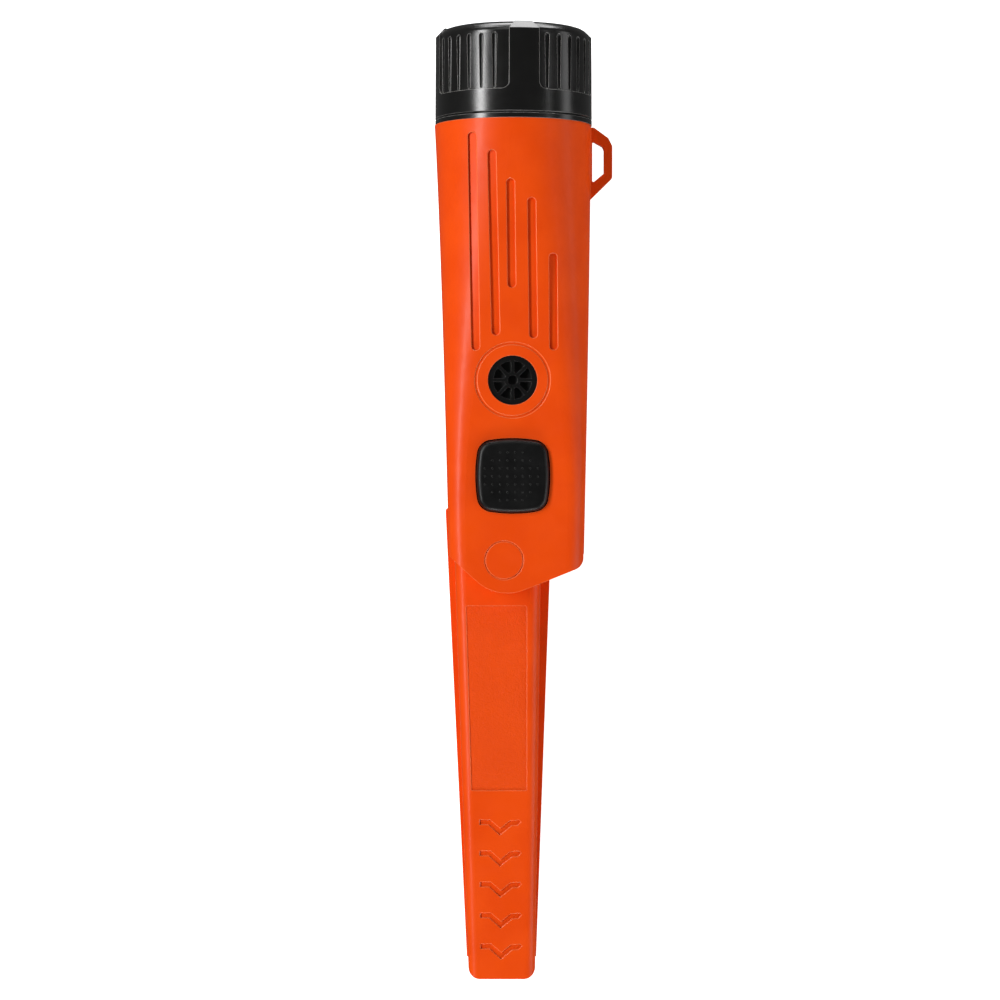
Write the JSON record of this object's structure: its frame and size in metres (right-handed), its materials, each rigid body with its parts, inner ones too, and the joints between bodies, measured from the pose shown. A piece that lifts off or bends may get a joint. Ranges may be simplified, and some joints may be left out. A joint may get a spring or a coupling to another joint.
{
  "type": "pinpointer probe",
  "caption": "Handheld metal-detecting pinpointer: tapered sensing probe, overhanging grip with rubber power button and speaker grille, screw-on fluted battery cap and lanyard loop.",
  "frame": {"origin": "on the flat back, under the battery cap's axis, 117 mm below the cap's top, near the middle of the length", "axes": "+Y along the probe towards the battery cap, +Z out of the button face, +X towards the lanyard loop"},
  "size_m": [0.0442, 0.2369, 0.0394],
  "materials": {
    "orange_shell": "semi-gloss moulded plastic with a very fine grain",
    "cap_plastic": "semi-gloss black moulded plastic",
    "black_plastic": "semi-gloss black moulded plastic",
    "grille_plastic": "satin black plastic",
    "button_rubber": "smooth silicone rubber",
    "seal_rubber": "rubber",
    "inner_plastic": "plain moulded plastic",
    "mesh_cloth": "fine woven mesh",
    "brass_disc": "brass",
    "nickel": "nickel plating",
    "screw_steel": "zinc-plated steel",
    "battery_can": "printed metal jacket without any print",
    "board_green": "solder resist",
    "chip_black": "moulded package",
    "capacitor_can": "aluminium can",
    "clear_lens": "clear polycarbonate",
    "ferrite": "sintered ferrite",
    "copper_wire": "enamelled copper wire",
    "foam": "closed-cell foam",
    "wire_red": "insulated wire",
    "wire_black": "insulated wire",
    "tungsten": "sintered tungsten alloy"
  },
  "bodies": {
    "housing": {"front_housing": "orange_shell", "back_housing": "orange_shell", "housing_screws": "screw_steel", "neck_ring": "black_plastic", "neck_o_ring": "seal_rubber", "battery_9v": "battery_can", "battery_snaps": "nickel", "contact_plate": "board_green", "snap_contacts": "nickel", "battery_sleeve": "inner_plastic", "speaker_grille": "grille_plastic", "speaker_mesh": "mesh_cloth", "speaker_frame": "inner_plastic", "speaker_disc": "brass_disc", "tact_switch": "inner_plastic", "button_retainer": "inner_plastic", "main_board": "board_green", "board_chips": "chip_black", "board_capacitors": "capacitor_can", "board_screws": "screw_steel", "board_standoffs": "brass_disc", "lamp_lens": "clear_lens", "lamp_led": "clear_lens", "lamp_leads": "nickel", "vibration_motor": "nickel", "motor_clip": "inner_plastic", "ferrite_rod": "ferrite", "coil_former": "inner_plastic", "receive_coils": "copper_wire", "transmit_coil": "copper_wire", "coil_cushions": "foam", "battery_leads": "wire_red", "coil_leads": "wire_black", "speaker_leads": "wire_red", "motor_leads": "wire_black"},
    "pad_carrier": {"battery_pad": "foam"},
    "cap": {"battery_cap": "cap_plastic"},
    "button": {"power_button": "button_rubber", "switch_plunger": "inner_plastic"},
    "motor_rotor": {"motor_shaft": "screw_steel", "eccentric_weight": "tungsten"}
  },
  "joints": [
    {"name": "cap_travel", "type": "slide", "parent": "housing", "child": "pad_carrier", "axis": [0, 1, 0], "range_m": [0, 0.006]},
    {"name": "cap_turn", "type": "hinge", "parent": "pad_carrier", "child": "cap", "pos_m": [0, 0.1, 0.0199], "axis": [0, 1, 0], "range_deg": [0, 720]},
    {"name": "button_press", "type": "slide", "parent": "housing", "child": "button", "axis": [0, 0.0553, -0.9985], "range_m": [0, 0.0006], "stiffness_N_per_m": 2500},
    {"name": "motor_spin", "type": "hinge", "parent": "housing", "child": "motor_rotor", "pos_m": [0.0004, 0.0165, 0.0082], "axis": [0, 1, 0], "continuous": true}
  ],
  "couplings": [
    {"joint": "cap_turn", "follows": "cap_travel", "rad_per_m": 2094.4}
  ]
}
